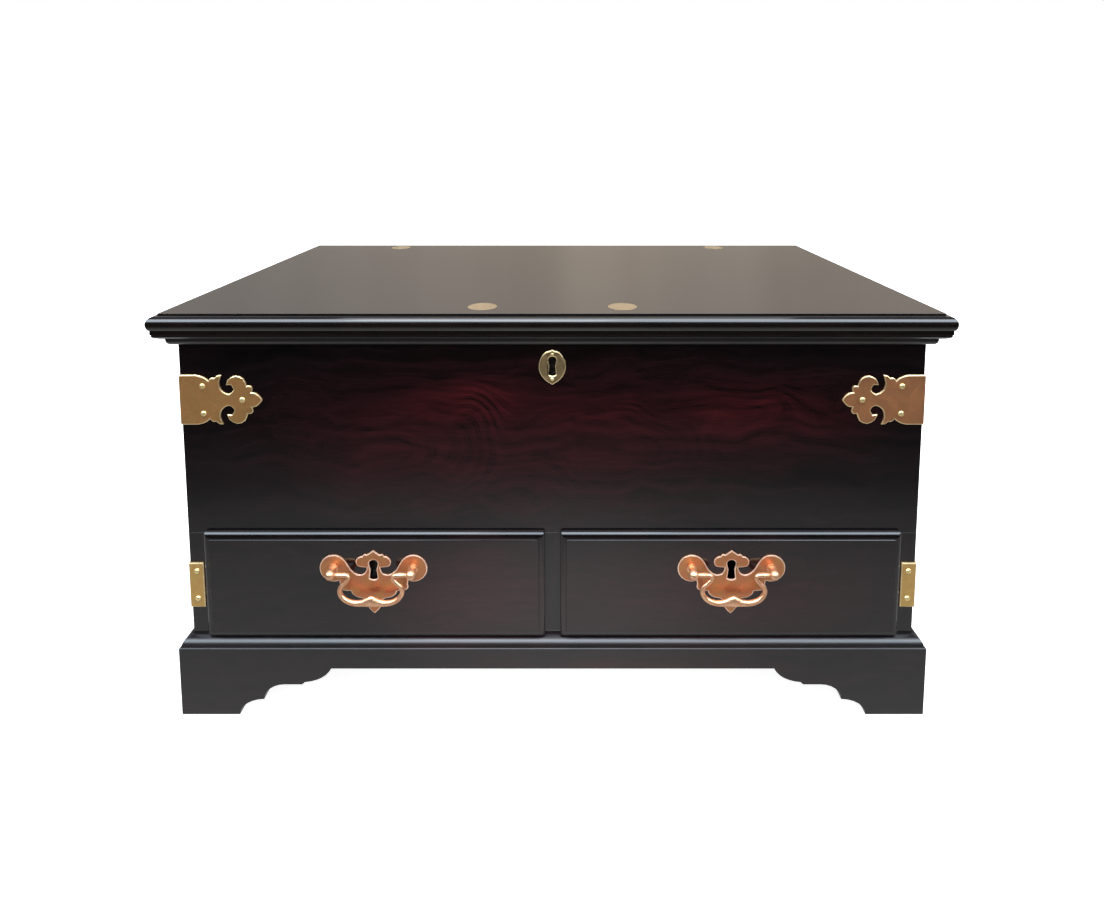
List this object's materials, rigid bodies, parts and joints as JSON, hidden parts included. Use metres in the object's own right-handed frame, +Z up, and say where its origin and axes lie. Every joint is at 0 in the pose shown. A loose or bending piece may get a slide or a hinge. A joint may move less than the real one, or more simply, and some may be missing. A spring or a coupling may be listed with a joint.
{
  "type": "mule chest",
  "caption": "Low dark hardwood chest with a hinged moulded lid over two lipped drawers, on a plinth with scrolled bracket feet, with fret-cut brass straps, locks and bail pulls.",
  "frame": {"origin": "middle of the whole chest's outline in plan, on the floor", "axes": "+X towards the right end seen from the front, +Y towards the back, +Z up"},
  "size_m": [1.054, 0.609, 0.568],
  "materials": {
    "front_wood": "dark red-brown polished hardwood with a swirling figure",
    "case_wood": "dark polished hardwood",
    "inside_wood": "plain hardwood, waxed",
    "drawer_wood": "pale plain softwood",
    "strap_brass": "aged brass with worn bright edges",
    "disc_brass": "worn brass",
    "pull_brass": "polished reddish brass",
    "hinge_brass": "plain brass",
    "lock_steel": "bright filed iron"
  },
  "bodies": {
    "carcase": {"front_board": "front_wood", "left_side": "case_wood", "right_side": "case_wood", "back_board": "case_wood", "base_board": "case_wood", "drawer_divider": "case_wood", "chest_floor": "inside_wood", "plinth_front": "case_wood", "plinth_left": "case_wood", "plinth_right": "case_wood", "plinth_back": "case_wood", "glue_block_front_left": "inside_wood", "glue_block_front_right": "inside_wood", "glue_block_back_left": "inside_wood", "glue_block_back_right": "inside_wood", "hinge_left_case_leaf": "hinge_brass", "hinge_left_pin": "hinge_brass", "hinge_right_case_leaf": "hinge_brass", "hinge_right_pin": "hinge_brass", "chest_lock_case": "lock_steel", "escutcheon": "strap_brass", "upper_strap_left": "strap_brass", "upper_strap_right": "strap_brass", "lower_strap_left": "strap_brass", "lower_strap_right": "strap_brass"},
    "lid": {"lid_board": "case_wood", "lid_moulding_front": "case_wood", "lid_moulding_left": "case_wood", "lid_moulding_right": "case_wood", "lid_disc_front_left": "disc_brass", "lid_disc_front_right": "disc_brass", "lid_disc_back_left": "disc_brass", "lid_disc_back_right": "disc_brass", "hinge_left_lid_leaf": "hinge_brass", "hinge_right_lid_leaf": "hinge_brass", "chest_lock_keeper": "hinge_brass"},
    "chest_bolt": {"chest_lock_bolt": "lock_steel"},
    "drawer_left": {"drawer_left_front": "case_wood", "drawer_left_side_left": "drawer_wood", "drawer_left_side_right": "drawer_wood", "drawer_left_back": "drawer_wood", "drawer_left_bottom": "drawer_wood", "drawer_left_lock_case": "lock_steel", "drawer_left_pull_plate": "pull_brass", "drawer_left_post_left": "pull_brass", "drawer_left_post_right": "pull_brass"},
    "drawer_left_bail": {"drawer_left_bail": "pull_brass"},
    "drawer_left_bolt": {"drawer_left_lock_bolt": "lock_steel"},
    "drawer_right": {"drawer_right_front": "case_wood", "drawer_right_side_left": "drawer_wood", "drawer_right_side_right": "drawer_wood", "drawer_right_back": "drawer_wood", "drawer_right_bottom": "drawer_wood", "drawer_right_lock_case": "lock_steel", "drawer_right_pull_plate": "pull_brass", "drawer_right_post_left": "pull_brass", "drawer_right_post_right": "pull_brass"},
    "drawer_right_bail": {"drawer_right_bail": "pull_brass"},
    "drawer_right_bolt": {"drawer_right_lock_bolt": "lock_steel"}
  },
  "joints": [
    {"name": "lid_hinge", "type": "hinge", "parent": "carcase", "child": "lid", "pos_m": [0, 0.2935, 0.541], "axis": [-1, 0, 0], "range_deg": [0, 98]},
    {"name": "chest_bolt_slide", "type": "slide", "parent": "carcase", "child": "chest_bolt", "axis": [1, 0, 0], "range_m": [0, 0.01]},
    {"name": "drawer_left_slide", "type": "slide", "parent": "carcase", "child": "drawer_left", "axis": [0, -1, 0], "range_m": [0, 0.42]},
    {"name": "drawer_left_bail_hinge", "type": "hinge", "parent": "drawer_left", "child": "drawer_left_bail", "pos_m": [-0.24375, -0.2975, 0.2134], "axis": [-1, 0, 0], "range_deg": [-8, 88]},
    {"name": "drawer_left_bolt_slide", "type": "slide", "parent": "drawer_left", "child": "drawer_left_bolt", "axis": [0, 0, 1], "range_m": [0, 0.008]},
    {"name": "drawer_right_slide", "type": "slide", "parent": "carcase", "child": "drawer_right", "axis": [0, -1, 0], "range_m": [0, 0.42]},
    {"name": "drawer_right_bail_hinge", "type": "hinge", "parent": "drawer_right", "child": "drawer_right_bail", "pos_m": [0.24375, -0.2975, 0.2134], "axis": [-1, 0, 0], "range_deg": [-8, 88]},
    {"name": "drawer_right_bolt_slide", "type": "slide", "parent": "drawer_right", "child": "drawer_right_bolt", "axis": [0, 0, 1], "range_m": [0, 0.008]}
  ]
}
